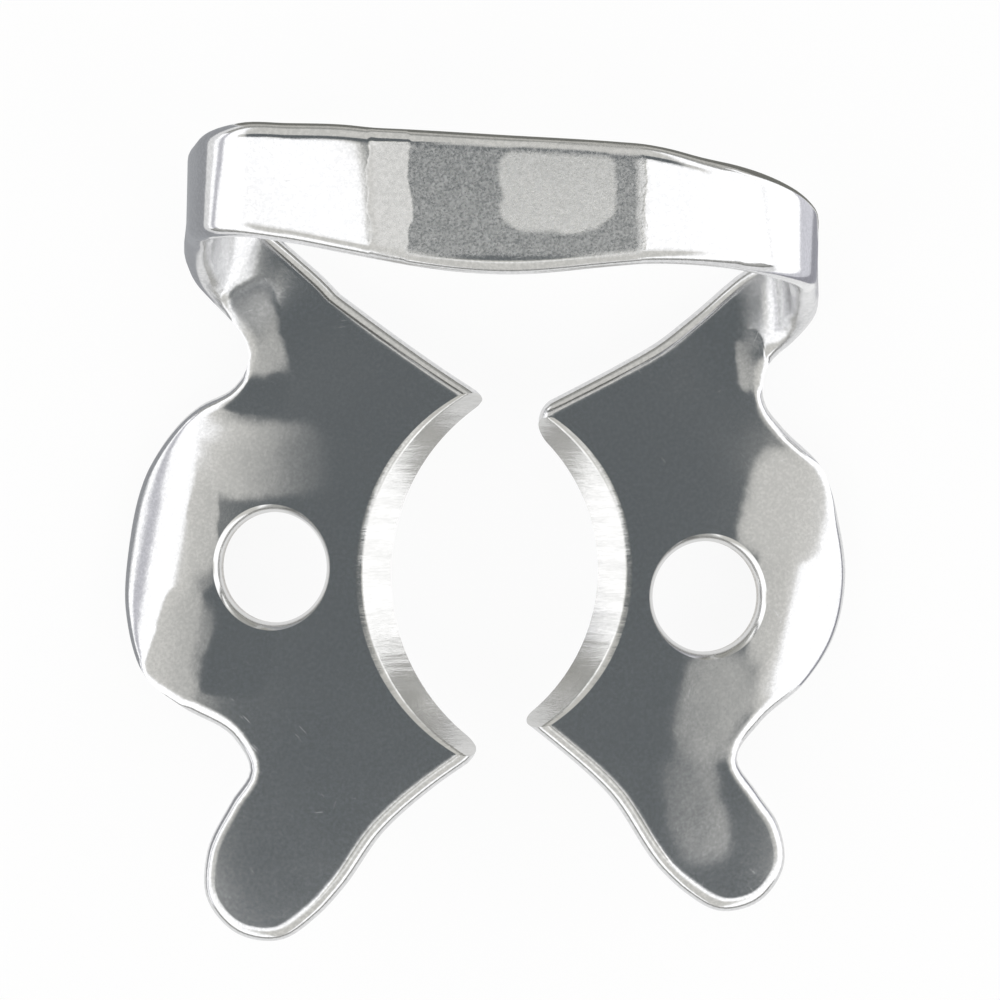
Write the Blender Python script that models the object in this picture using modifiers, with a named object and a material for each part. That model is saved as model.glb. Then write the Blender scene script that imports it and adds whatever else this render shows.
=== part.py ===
"""A winged molar rubber dam clamp, formed from one piece of punched stainless sheet.

The sheet is modelled at mid thickness as an open surface: two jaw plates, whose outlines lie in plan,
and the bow strap that runs from the neck of one plate, round and over the top, to the neck of the
other. Solidify gives the sheet its thickness, Bevel rolls its edges round, and Booleans then grind
the tooth side of each jaw and pierce the forceps holes.

Plan coordinates: +X to the right, +Y distal, towards the bow, +Z up. The origin of the plan is the
tooth axis, midway between the jaws, and heights are taken from the middle of the jaws' tooth edges.
At the end the clamp is leaned back on its wings and necks, as it rests on a table.
"""

import math
from dataclasses import dataclass

import bmesh
import bpy
import numpy as np
from mathutils import Matrix, Vector
from mathutils.geometry import delaunay_2d_cdt

MM = 0.001

# Sheet
SHEET = 0.80 * MM
EDGE_ROUND = 0.38 * MM
RIM_MARGIN = 0.10 * MM
EDGE_STEP = 0.50 * MM
FACE_STEP = 1.00 * MM
ROUND_SEGMENTS = 3

# The plan's main sizes: between the deepest points of the two tooth edges, and from the tooth axis to the
# mesial rim of the bow
JAW_GAP = 6.37 * MM
BOW_REACH = 7.94 * MM

# Forming of the jaw plates: how steeply they fall outwards, and how the lateral wings droop
PLATE_FALL = math.tan(math.radians(9.0))
PLATE_RADIUS = 38.0 * MM
WING_RADIUS = 4.2 * MM

# Grinding of the tooth edges, and the forceps holes
GRIND_SLANT = math.radians(34.0)
BREAK_SLANT = math.radians(60.0)
BREAK_DEPTH = 0.18 * MM
PAST_AXIS = 0.25 * MM
FORCEPS_HOLE = 3.30 * MM
HOLE_BREAK = 0.20 * MM

# Bow
BOW_HEIGHT = 9.1 * MM
LEFT_WAIST = 2.75 * MM
RIGHT_WAIST = 2.52 * MM
TOP_WIDTH = 3.78 * MM
STRAP_COLUMNS = 3

# How far the clamp leans back, and over to the right, from level plates to the pose in which it rests
REST_LEAN = math.radians(9.8)
REST_ROLL = math.radians(1.4)

STEEL = (0.66, 0.66, 0.65, 1.0)
STEEL_ROUGHNESS = 0.12


@dataclass
class Finger:
    """The round end of a jaw's mesial wing."""

    centre: tuple
    radius: float
    start: float
    end: float

    def knots(self, count=5):
        angles = [math.radians(self.start + (self.end - self.start) * i / (count - 1)) for i in range(count)]
        x, y = self.centre
        return [(x + self.radius * math.cos(a), y + self.radius * math.sin(a)) for a in angles]


@dataclass
class Jaw:
    """One jaw plate in plan, from the distal side of its neck round to the outer side. The x of its places
    is in millimetres from the deepest point of its own tooth edge. Their y is in millimetres on the mesial
    side of the tooth axis, where it is negative, and a share of the bow's reach on the distal side."""

    side: int
    neck_distal: list
    distal_edge: list
    prongs: list
    finger_inner: list
    finger: Finger
    finger_outer: list
    wing: list
    neck_outer: list
    tooth_level: float
    grind_radius: float
    hole: tuple
    bend_point: tuple
    bend_heading: float

    def places(self, points):
        """Points of the jaw's own plan as places in the clamp's plan."""
        return [(self.side * JAW_GAP / 2 + x * MM, y * (MM if y < 0 else BOW_REACH)) for x, y in points]

    def outline(self):
        """The rim from the neck's distal side to its outer side: smooth runs that meet at the prongs."""
        distal = self.neck_distal + self.distal_edge + self.prongs[:1]
        wings = self.prongs[1:] + self.finger_inner + self.finger.knots() + self.finger_outer + self.wing
        runs = (distal, self.prongs, wings + self.neck_outer)
        runs = [spline_through(self.places(run), EDGE_STEP) for run in runs]
        return np.vstack([runs[0], runs[1][1:], runs[2][1:]])

    def height(self, x, y):
        """Height of the sheet: it falls away outwards, more steeply past the wing's bend line."""
        reach = self.side * x - JAW_GAP / 2
        flat = max(reach, 0.0)
        heading = math.radians(self.bend_heading)
        outwards = Vector((self.side * math.cos(heading), math.sin(heading)))
        bend_point = Vector(self.places([self.bend_point])[0])
        past = max(outwards.dot(Vector((x, y)) - bend_point), 0.0)
        return -PLATE_FALL * reach - flat**2 / (2 * PLATE_RADIUS) - past**2 / (2 * WING_RADIUS)

    def normal(self, x, y):
        step = 0.05 * MM
        dx = (self.height(x + step, y) - self.height(x - step, y)) / (2 * step)
        dy = (self.height(x, y + step) - self.height(x, y - step)) / (2 * step)
        return Vector((-dx, -dy, 1.0)).normalized()


LEFT = Jaw(
    side=-1,
    neck_distal=[(-1.45, 1.0076)],
    distal_edge=[(-0.12, 0.8816), (1.41, 0.7431)],
    prongs=[(2.94, 0.6146), (2.67, -5.88)],
    finger_inner=[(1.41, -6.78), (-0.13, -8.16), (-1.38, -9.91)],
    finger=Finger(centre=(-3.72, -9.62), radius=1.93, start=-36.0, end=-200.0),
    finger_outer=[(-4.76, -7.32), (-4.19, -6.35)],
    wing=[
        (-4.64, -5.47), (-6.34, -4.48), (-7.39, -3.68), (-8.04, -1.75), (-7.97, 0.0315),
        (-7.27, 0.3602), (-5.77, 0.5869),
    ],
    neck_outer=[(-4.67, 0.6612), (-4.29, 0.728), (-4.21, 0.772)],
    tooth_level=-0.45,
    grind_radius=6.14,
    hole=(-3.45, -0.23),
    bend_point=(-5.30, 0.2267),
    bend_heading=12.0,
)

RIGHT = Jaw(
    side=1,
    neck_distal=[(2.71, 0.9244)],
    distal_edge=[(1.83, 0.8363), (0.44, 0.733), (-0.76, 0.6524)],
    prongs=[(-1.81, 0.5844), (-2.50, -4.65)],
    finger_inner=[(-1.48, -5.47), (0.17, -6.96), (1.91, -9.43)],
    finger=Finger(centre=(3.89, -8.90), radius=1.75, start=-140.0, end=28.0),
    finger_outer=[(4.75, -7.03), (4.14, -6.00)],
    wing=[
        (4.82, -4.99), (6.26, -3.73), (7.08, -2.50), (7.50, -0.60), (7.30, 0.1385),
        (6.77, 0.3501), (5.51, 0.5113),
    ],
    neck_outer=[(5.04, 0.5869), (4.91, 0.6448), (4.95, 0.6952)],
    tooth_level=-0.3,
    grind_radius=5.49,
    hole=(3.18, -1.11),
    bend_point=(5.80, 0.2267),
    bend_heading=-14.0,
)

# Stations along the strap's mesial rim. Each has x in millimetres from the deepest point of the tooth edge
# on that side, or from the tooth axis for the middle one, the shares of the bow's reach and height, the yaw
# and pitch in degrees of the line that crosses the strap to its distal rim, and how far the strap has
# widened there from its waist on that side to its full width on top
STRAP_LEFT = [
    (-4.3, 0.8287, -0.101, 50, 10, 0.34), (-4.56, 0.8816, -0.088, 43, 8, 0.15),
    (-5.16, 0.9584, -0.049, 33, 2, 0.07), (-5.52, 1.0202, 0.044, 22, -6, 0.02),
    (-5.60, 1.073, 0.165, 13, -12, 0.00), (-5.46, 1.1146, 0.352, 6, -14, 0.00),
    (-5.22, 1.1322, 0.527, 2, -14, 0.00), (-5.07, 1.1373, 0.670, 0, -10, 0.00),
    (-4.82, 1.1348, 0.808, 0, -3, 0.03), (-4.42, 1.1348, 0.896, 0, 5, 0.20),
    (-3.75, 1.1348, 0.940, 0, 10, 0.34), (-2.37, 1.1108, 0.970, 0, 10, 0.49),
    (-0.86, 1.073, 0.995, 0, 9, 0.71), (-0.01, 1.0516, 1.006, 0, 8, 0.78),
    (0.61, 1.0365, 1.004, 0, 8, 0.87),
]
STRAP_MIDDLE = (0.175, 1, 1.000, 0, 8, 1.00)
STRAP_RIGHT = [
    (0.24, 1.029, 1.004, 0, 8, 0.66), (0.85, 1.0353, 1.004, 0, 8, 0.58),
    (1.48, 1.0365, 0.998, 0, 8, 0.49), (2.44, 1.0327, 0.978, 0, 6, 0.33),
    (3.42, 1.0227, 0.940, 0, 2, 0.25), (4.2, 1.0101, 0.885, 0, -2, 0.19),
    (4.91, 0.9962, 0.791, 2, -6, 0.08), (5.4, 0.9849, 0.670, 3, -12, 0.00),
    (5.63, 0.9773, 0.527, 3, -15, 0.00), (5.79, 0.9647, 0.352, 2, -16, 0.00),
    (6.01, 0.9332, 0.187, -2, -15, 0.02), (6.06, 0.8804, 0.055, -11, -11, 0.09),
    (5.78, 0.8212, -0.033, -20, -6, 0.12), (5.36, 0.7758, -0.075, -29, -3, 0.13),
    (5.1, 0.738, -0.093, -40, -2, 0.15),
]


def clear_scene():
    for obj in list(bpy.data.objects):
        bpy.data.objects.remove(obj, do_unlink=True)


def new_collection(name):
    collection = bpy.data.collections.new(name)
    bpy.context.scene.collection.children.link(collection)
    return collection


def spline_through(knots, step, places=None):
    """Points about one step apart on a smooth curve through the knots, measured on their first columns."""
    knots = np.asarray(knots, dtype=float)
    places = knots.shape[1] if places is None else places
    spans = np.linalg.norm(np.diff(knots[:, :places], axis=0), axis=1)
    at = np.concatenate([[0.0], np.cumsum(spans)])
    slopes = np.gradient(knots, at, axis=0) if len(knots) > 2 else np.diff(knots, axis=0) / spans[0]
    slopes = slopes if len(knots) > 2 else np.repeat(slopes, 2, axis=0)
    fine = np.linspace(0.0, at[-1], 40 * len(knots))
    cell = np.clip(np.searchsorted(at, fine, side="right") - 1, 0, len(spans) - 1)
    t = ((fine - at[cell]) / spans[cell])[:, None]
    width = spans[cell][:, None]
    curve = (
        knots[cell] * (2 * t**3 - 3 * t**2 + 1)
        + slopes[cell] * width * (t**3 - 2 * t**2 + t)
        + knots[cell + 1] * (3 * t**2 - 2 * t**3)
        + slopes[cell + 1] * width * (t**3 - t**2)
    )
    run = np.concatenate([[0.0], np.cumsum(np.linalg.norm(np.diff(curve[:, :places], axis=0), axis=1))])
    count = max(2, round(run[-1] / step))
    even = np.linspace(0.0, run[-1], count + 1)
    return np.stack([np.interp(even, run, curve[:, i]) for i in range(knots.shape[1])], axis=1)


def inset(points, distance, side):
    """The open polyline moved into the sheet by the distance, mitred at its corners."""
    ahead = np.diff(points, axis=0)
    ahead /= np.linalg.norm(ahead, axis=1)[:, None]
    sideways = np.stack([-ahead[:, 1], ahead[:, 0]], axis=1) * side
    before = np.vstack([sideways[:1], sideways])
    after = np.vstack([sideways, sideways[-1:]])
    mitre = before + after
    mitre /= (1.0 + np.sum(before * after, axis=1))[:, None]
    return points + mitre * distance


def rim_band():
    """Width of the band of faces along the sheet's rims, which takes the rolled edge."""
    return EDGE_ROUND + RIM_MARGIN


def cross_shares(across, mesial, distal):
    """Shares of a crossing line at which the strap's lengthwise lines meet it: both rims, the band along
    each of them, of which the given vectors tell the directions, and the columns between."""
    near, far = (rim_band() / across.cross(rim.normalized()).length for rim in (mesial, distal))
    between = [near + (1 - near - far) * i / (STRAP_COLUMNS + 1) for i in range(1, STRAP_COLUMNS + 1)]
    return [0.0, near, *between, 1 - far, 1.0]


def neck_row(jaw):
    """The row of points that the jaw's plate and the strap share."""
    rim = jaw.outline()
    ends = [Vector((*point, 0.0)) for point in (rim[-1], rim[-2], rim[0], rim[1])]
    across = ends[2] - ends[0]
    row = [ends[0] + across * share for share in cross_shares(across, ends[1] - ends[0], ends[3] - ends[2])]
    return [Vector((point.x, point.y, jaw.height(point.x, point.y))) for point in row]


def inside(point, loop):
    """Whether a plan point lies in the closed loop."""
    x, y = point
    ends = np.roll(loop, -1, axis=0)
    crosses = (loop[:, 1] > y) != (ends[:, 1] > y)
    rise = np.where(crosses, ends[:, 1] - loop[:, 1], 1.0)
    reach = loop[:, 0] + (y - loop[:, 1]) * (ends[:, 0] - loop[:, 0]) / rise
    return np.count_nonzero(crosses & (x < reach)) % 2 == 1


def field_points(loop):
    """Staggered points inside the loop, clear of its edge."""
    low, high = loop.min(axis=0), loop.max(axis=0)
    rows = np.arange(low[1], high[1], FACE_STEP * math.sin(math.radians(60)))
    found = []
    for number, y in enumerate(rows):
        for x in np.arange(low[0] + (number % 2) * FACE_STEP / 2, high[0], FACE_STEP):
            clear = np.min(np.linalg.norm(loop - (x, y), axis=1)) > 0.6 * FACE_STEP
            if clear and inside((x, y), loop):
                found.append((x, y))
    return found


def add_jaw(bm, jaw):
    """The jaw's plate: a band of quads along the rim, and triangles over the field inside it."""
    rim = jaw.outline()
    row = [point.xy for point in neck_row(jaw)]
    band = inset(rim, rim_band(), jaw.side)
    band[0] = row[-2]
    band[-1] = row[1]
    loop = np.vstack([band, [tuple(point) for point in row[2:-2]]])
    points = [Vector(p) for p in loop] + [Vector(p) for p in field_points(loop)]
    made = delaunay_2d_cdt(points, [], [list(range(len(loop)))], 1, 1e-9)
    verts = [bm.verts.new((p.x, p.y, jaw.height(p.x, p.y))) for p in made[0]]
    for face in made[2]:
        bm.faces.new([verts[i] for i in face])
    outside = [bm.verts.new((x, y, jaw.height(x, y))) for x, y in rim]
    inner = [bm.verts.new((x, y, jaw.height(x, y))) for x, y in band]
    for i in range(len(rim) - 1):
        bm.faces.new((outside[i], outside[i + 1], inner[i + 1], inner[i]))


def strap_rows():
    """Rows of points across the strap, from the left neck over the bow to the right neck."""
    necks = [neck_row(LEFT), neck_row(RIGHT)]
    drawn = [(-1, LEFT_WAIST, station) for station in STRAP_LEFT]
    drawn += [(0, TOP_WIDTH, STRAP_MIDDLE)]
    drawn += [(1, RIGHT_WAIST, station) for station in STRAP_RIGHT]
    stations = []
    for side, waist, (x, y, share, yaw, pitch, fullness) in drawn:
        turn, rise = math.radians(yaw), math.radians(pitch)
        across = Vector((math.sin(turn) * math.cos(rise), math.cos(turn) * math.cos(rise), math.sin(rise)))
        place = (side * JAW_GAP / 2 + x * MM, y * BOW_REACH, share * BOW_HEIGHT)
        stations.append([*place, *across * (waist + fullness * (TOP_WIDTH - waist))])
    for place, row in ((0, necks[0]), (len(stations) + 1, necks[1])):
        stations.insert(place, [*row[0], *row[-1] - row[0]])
    line = spline_through(stations, EDGE_STEP, places=3)
    mesial, distal = line[:, :3], line[:, :3] + line[:, 3:]
    rows = []
    for edge, far, run, far_run in zip(mesial, distal, np.gradient(mesial, axis=0), np.gradient(distal, axis=0)):
        across = Vector(far - edge)
        shares = cross_shares(across, Vector(run), Vector(far_run))
        rows.append([Vector(edge) + across * share for share in shares])
    rows[0], rows[-1] = necks
    return rows


def add_strap(bm):
    rows = [[bm.verts.new(point) for point in row] for row in strap_rows()]
    for here, there in zip(rows, rows[1:]):
        for i in range(len(here) - 1):
            bm.faces.new((here[i], here[i + 1], there[i + 1], there[i]))


def steel():
    material = bpy.data.materials.new("stainless_steel")
    material.use_nodes = True
    shader = material.node_tree.nodes["Principled BSDF"]
    shader.inputs["Base Color"].default_value = STEEL
    shader.inputs["Metallic"].default_value = 1.0
    shader.inputs["Roughness"].default_value = STEEL_ROUGHNESS
    return material


def new_object(name, bm, collection):
    mesh = bpy.data.meshes.new(name)
    bm.to_mesh(mesh)
    bm.free()
    obj = bpy.data.objects.new(name, mesh)
    collection.objects.link(obj)
    return obj


def make_cutter(name, bm, collection):
    bmesh.ops.recalc_face_normals(bm, faces=bm.faces)
    cutter = new_object(name, bm, collection)
    cutter.hide_render = True
    cutter.display_type = "WIRE"
    return cutter


def grinding_wheel(jaw, collection):
    """The wheel that grinds the jaw's tooth edge, halved at the tooth axis: slanted under the plate, and
    slanted further where it breaks the edge of the upper face."""
    radius, reach, over = jaw.grind_radius * MM, jaw.side * JAW_GAP / 2, 2 * SHEET
    back = radius + (over - SHEET / 2) * math.tan(GRIND_SLANT)
    bm = bmesh.new()
    bmesh.ops.create_circle(bm, segments=120, radius=radius, matrix=Matrix.Translation((-jaw.side * back, 0, -over)))
    ring = bm.edges[:]
    for slant, rise in ((GRIND_SLANT, over + SHEET / 2 - BREAK_DEPTH), (BREAK_SLANT, BREAK_DEPTH + over)):
        raised = bmesh.ops.extrude_edge_only(bm, edges=ring)["geom"]
        verts = [item for item in raised if isinstance(item, bmesh.types.BMVert)]
        bmesh.ops.translate(bm, verts=verts, vec=(jaw.side * math.tan(slant) * rise, 0.0, rise))
        ring = [item for item in raised if isinstance(item, bmesh.types.BMEdge) and item.is_boundary]
    bmesh.ops.holes_fill(bm, edges=[edge for edge in bm.edges if edge.is_boundary])
    bmesh.ops.bisect_plane(
        bm, geom=bm.verts[:] + bm.edges[:] + bm.faces[:], plane_co=(-reach - jaw.side * PAST_AXIS, 0.0, 0.0),
        plane_no=(-jaw.side, 0.0, 0.0), clear_outer=True,
    )
    bmesh.ops.holes_fill(bm, edges=[edge for edge in bm.edges if edge.is_boundary])
    level = Matrix.Rotation(jaw.side * math.atan(PLATE_FALL), 4, "Y")
    bmesh.ops.transform(
        bm, matrix=Matrix.Translation((reach, jaw.tooth_level * MM, 0.0)) @ level, verts=bm.verts
    )
    return make_cutter(f"grind_{'left' if jaw.side < 0 else 'right'}", bm, collection)


def hole_cutter(jaw, collection):
    """A waisted plug across the sheet: it pierces the forceps hole and breaks both its edges."""
    radius, reach = FORCEPS_HOLE / 2, 2.0 * SHEET
    waist = SHEET / 2 - HOLE_BREAK
    profile = [(radius + reach - waist, reach), (radius, waist), (radius, -waist), (radius + reach - waist, -reach)]
    bm = bmesh.new()
    verts = [bm.verts.new((x, 0.0, z)) for x, z in profile]
    edges = [bm.edges.new(pair) for pair in zip(verts, verts[1:])]
    bmesh.ops.spin(
        bm, geom=verts + edges, axis=(0, 0, 1), cent=(0, 0, 0), angle=math.tau, steps=48, use_merge=True
    )
    bmesh.ops.remove_doubles(bm, verts=bm.verts, dist=0.001 * MM)
    bmesh.ops.holes_fill(bm, edges=[edge for edge in bm.edges if edge.is_boundary])
    x, y = jaw.places([jaw.hole])[0]
    axis = jaw.normal(x, y)
    bmesh.ops.transform(
        bm, verts=bm.verts,
        matrix=Matrix.Translation((x, y, jaw.height(x, y))) @ axis.to_track_quat("Z", "Y").to_matrix().to_4x4(),
    )
    return make_cutter(f"hole_{'left' if jaw.side < 0 else 'right'}", bm, collection)


def form_sheet(collection, cutters):
    """The whole clamp: the joined surface, its thickness, its rolled edges, and what is cut into it."""
    bm = bmesh.new()
    for jaw in (LEFT, RIGHT):
        add_jaw(bm, jaw)
    add_strap(bm)
    bmesh.ops.remove_doubles(bm, verts=bm.verts, dist=0.005 * MM)
    bmesh.ops.recalc_face_normals(bm, faces=bm.faces)
    clamp = new_object("clamp", bm, collection)
    clamp.data.materials.append(steel())
    thickness = clamp.modifiers.new("thickness", "SOLIDIFY")
    thickness.thickness = SHEET
    thickness.offset = 0.0
    thickness.use_even_offset = True
    rolled = clamp.modifiers.new("rolled_edges", "BEVEL")
    rolled.width = min(EDGE_ROUND, 0.48 * SHEET)
    rolled.segments = ROUND_SEGMENTS
    rolled.limit_method = "ANGLE"
    rolled.angle_limit = math.radians(50)
    rolled.use_clamp_overlap = False
    for jaw in (LEFT, RIGHT):
        for cutter in (grinding_wheel(jaw, cutters), hole_cutter(jaw, cutters)):
            cut = clamp.modifiers.new(cutter.name, "BOOLEAN")
            cut.operation = "DIFFERENCE"
            cut.solver = "EXACT"
            cut.object = cutter
    return clamp


def stand(clamp, cutters, collection):
    """Lean the clamp as it rests, and bring the middle of its underside to the origin."""
    frame = bpy.data.objects.new("rest_frame", None)
    collection.objects.link(frame)
    for obj in (clamp, *cutters.objects):
        obj.parent = frame
    frame.rotation_euler = (-REST_LEAN, REST_ROLL, 0.0)
    bpy.context.view_layer.update()
    graph = bpy.context.evaluated_depsgraph_get()
    shape = clamp.evaluated_get(graph)
    corners = np.array([shape.matrix_world @ v.co for v in shape.to_mesh().vertices])
    low, high = corners.min(axis=0), corners.max(axis=0)
    frame.location = (-(low[0] + high[0]) / 2, -(low[1] + high[1]) / 2, -low[2])
    bpy.context.view_layer.update()


def main():
    clear_scene()
    parts = new_collection("rubber_dam_clamp")
    cutters = new_collection("cutters")
    clamp = form_sheet(parts, cutters)
    stand(clamp, cutters, parts)


main()
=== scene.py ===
"""The look of a winged molar rubber dam clamp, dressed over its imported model.

The clamp is one piece of stainless sheet: two jaw plates with drooping wings, forceps holes and ground
tooth edges, joined by a bow whose top is coined flat. One piece of the scene stands for the whole clamp.
It is formed as the real one is: punched in plan, bent, rolled round at its edges, then ground and pierced.

Plan coordinates: +X to the right, +Y distal, towards the bow, +Z up. The plan's origin is the tooth axis,
and heights are taken from the middle of the jaws' tooth edges. The finished piece leans back as it rests,
and keeps its places in plan as an attribute, by which the finishes find them.
"""

import logging
import math
from collections.abc import Callable
from dataclasses import dataclass
from enum import Enum

import bmesh
import bpy
import numpy as np
from bmesh.types import BMEdge, BMesh, BMVert
from bpy.types import Material, Node, NodeSocket, Object, World
from mathutils import Euler, Matrix, Vector
from mathutils.geometry import delaunay_2d_cdt
from mathutils.kdtree import KDTree


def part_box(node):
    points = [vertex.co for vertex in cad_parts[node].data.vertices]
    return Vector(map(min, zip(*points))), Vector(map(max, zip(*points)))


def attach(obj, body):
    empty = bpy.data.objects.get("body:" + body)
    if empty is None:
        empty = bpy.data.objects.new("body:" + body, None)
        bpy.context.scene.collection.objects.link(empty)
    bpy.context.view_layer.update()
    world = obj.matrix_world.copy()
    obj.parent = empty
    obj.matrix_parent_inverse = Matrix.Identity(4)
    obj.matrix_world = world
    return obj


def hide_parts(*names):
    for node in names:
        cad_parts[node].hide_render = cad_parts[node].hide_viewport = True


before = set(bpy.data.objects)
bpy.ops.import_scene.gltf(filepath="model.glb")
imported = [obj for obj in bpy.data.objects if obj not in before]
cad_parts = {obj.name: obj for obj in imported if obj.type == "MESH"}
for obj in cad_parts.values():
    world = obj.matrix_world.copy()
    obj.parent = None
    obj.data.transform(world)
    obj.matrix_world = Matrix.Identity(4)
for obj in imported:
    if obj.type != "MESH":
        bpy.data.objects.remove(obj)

MM = 0.001
LOG = logging.getLogger("rubber_dam_clamp")

Colour = tuple[float, float, float]
Place = tuple[float, float]
Station = tuple[float, float, float, float, float, float]


class Side(Enum):
    """Which jaw a piece of the clamp belongs to, as the sign of its x."""

    LEFT = -1
    RIGHT = 1


class Level(Enum):
    """Which of two faces that lie over each other in plan is meant, as the heights where a place on it
    begins and is full."""

    PLATES = (5.0 * MM, 4.0 * MM)
    BOW = (6.5 * MM, 6.9 * MM)


def heading(degrees: float, rise: float = 0.0) -> Vector:
    """The way that a bearing in plan points, in degrees round from the right, with a rise."""
    return Vector((math.cos(math.radians(degrees)), math.sin(math.radians(degrees)), rise))


def slope(degrees: float) -> float:
    """The rise over the run of a slope."""
    return math.tan(math.radians(degrees))


# ---- shader nodes


def arithmetic(operation: str, reflected: bool = False) -> "Callable[[Field, Field | float], Field]":
    """An operator of Field, as one Math node; reflected, its operands change places."""

    def operator(self: "Field", other: "Field | float") -> "Field":
        """The Math node's value."""
        return self.math(operation, *((other, self) if reflected else (self, other)))

    return operator


class Field:
    """A number or vector that a node gives out. Arithmetic on it adds the nodes that work it out."""

    def __init__(self, bench: "Bench", socket: NodeSocket) -> None:
        """Wrap an output socket of the bench's node tree."""
        self.bench = bench
        self.socket = socket

    def math(self, operation: str, *terms: "Field | float") -> "Field":
        """The value of one Math node, whose operands are given in order."""
        return self.bench.node("Math", dict(enumerate(terms)), operation=operation)["Value"]

    __add__, __radd__ = arithmetic("ADD"), arithmetic("ADD", reflected=True)
    __sub__, __rsub__ = arithmetic("SUBTRACT"), arithmetic("SUBTRACT", reflected=True)
    __mul__, __rmul__ = arithmetic("MULTIPLY"), arithmetic("MULTIPLY", reflected=True)
    __truediv__, __rtruediv__ = arithmetic("DIVIDE"), arithmetic("DIVIDE", reflected=True)

    def __abs__(self) -> "Field":
        """Size without sign."""
        return self.math("ABSOLUTE", self)

    def ramp(self, start: float, end: float) -> "Field":
        """A smooth rise from 0 at the start to 1 at the end, which may lie below it."""
        inputs = {"Value": self, "From Min": start, "From Max": end}
        return self.bench.node("MapRange", inputs, interpolation_type="SMOOTHSTEP")["Result"]

    def vector(self, operation: str, *others: "Field | Colour") -> "Field":
        """The vector of one Vector Math node, whose first operand is this one."""
        return self.bench.node("VectorMath", dict(enumerate((self, *others))), operation=operation)["Vector"]

    def dot(self, axis: Vector) -> "Field":
        """How far this vector reaches along a fixed axis."""
        return self.bench.node("VectorMath", {0: self, 1: tuple(axis)}, operation="DOT_PRODUCT")["Value"]

    def noise(self, scale: float, detail: float, roughness: float = 0.5) -> "dict[str, Field]":
        """Cloudy noise at this place, about 0.5 in the mean, as the number Fac and the vector Color."""
        inputs = {"Vector": self, "Scale": scale, "Detail": detail, "Roughness": roughness}
        return self.bench.node("TexNoise", inputs)


class Bench:
    """Adds nodes to the tree of one material or world."""

    def __init__(self, owner: "Material | World") -> None:
        """Start from an empty tree."""
        owner.use_nodes = True
        self.tree = owner.node_tree
        self.tree.nodes.clear()

    def node(self, kind: str, inputs: dict, **settings: str) -> dict[str, Field]:
        """Add one node, with its settings made before its sockets are filled.

        Args:
            kind: The node's type, without its prefix.
            inputs: Values or links by the socket's name or number; None leaves a socket alone.
            settings: Its properties.

        Returns:
            The node's outputs by name.
        """
        made = self.tree.nodes.new("ShaderNode" + kind)
        for name, value in settings.items():
            setattr(made, name, value)
        for name, value in inputs.items():
            here = made.inputs[name] if isinstance(name, int) else self.find(made, name)
            if isinstance(value, Field):
                self.tree.links.new(value.socket, here)
            elif value is not None:
                here.default_value = (*value, 1.0) if here.type == "RGBA" else value
        return {socket.name: Field(self, socket) for socket in made.outputs if socket.enabled}

    @staticmethod
    def find(made: Node, name: str) -> NodeSocket:
        """The input in use that has this name."""
        return next(socket for socket in made.inputs if socket.name == name and socket.enabled)

    def mix(self, share: "Field | float", first: "Field | Colour", second: "Field | Colour") -> Field:
        """The first colour, blended with a share of the second."""
        return self.node("Mix", {"Factor": share, "A": first, "B": second}, data_type="RGBA")["Result"]

    def join(self, x: "Field | float", y: "Field | float", z: "Field | float") -> Field:
        """A vector of three numbers."""
        return self.node("CombineXYZ", {"X": x, "Y": y, "Z": z})["Vector"]

    def plan_place(self) -> Field:
        """The plan place of the steel, from before it was laid down."""
        return self.node("Attribute", {}, attribute_name="plan")["Vector"]

    def bump(self, height: Field, normal: "Field | None") -> Field:
        """A normal, or else the surface's own, tilted by a height in millimetres."""
        return self.node("Bump", {"Height": height, "Strength": 1.0, "Distance": MM, "Normal": normal})["Normal"]

    def show(self, shader: Field, output: str = "OutputMaterial") -> None:
        """End the tree in a shader."""
        self.node(output, {"Surface": shader})


def new_material(name: str) -> tuple[Material, Bench]:
    """A new material and its bench."""
    made = bpy.data.materials.new(name)
    return made, Bench(made)


# ---- finishes


@dataclass(frozen=True)
class Lean:
    """A place where bending and polishing left the face leaning a little more, or flat at a lean of its own,
    or duller. The place is a full ellipse in plan, in millimetres, and the leans are in degrees to the right
    and distally."""

    centre: Place
    half: Place
    right: float = 0.0
    distal: float = 0.0
    turn: float = 0.0
    soft: float = 0.35
    level: Level = Level.PLATES
    flat: float = 0.0
    dull: float = 0.0

    def mask(self, place: Field) -> Field:
        """Where the place is.

        Args:
            place: The plan place, in metres, with its worn borders.

        Returns:
            1 in the place, 0 off it.
        """
        middle = Vector((*self.centre, 0.0)) * MM
        axes = heading(self.turn), heading(self.turn + 90)
        off = [(place.dot(axis) - axis.dot(middle)) / (half * MM) for axis, half in zip(axes, self.half)]
        x, y = (part * part for part in off)
        inside = (x * x + y * y).ramp(1.0 + self.soft, 1.0 - self.soft)
        return inside * place.dot(Vector((0.0, 0.0, 1.0))).ramp(*self.level.value)

    def tilt(self, rest: Matrix) -> Vector:
        """How the face's normal is tipped over, or where it points if the place is flat, in the world's axes."""
        tilt = rest.to_3x3() @ Vector((slope(self.right), slope(self.distal), 1.0 if self.flat else 0.0))
        return tilt.normalized() if self.flat else tilt


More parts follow.
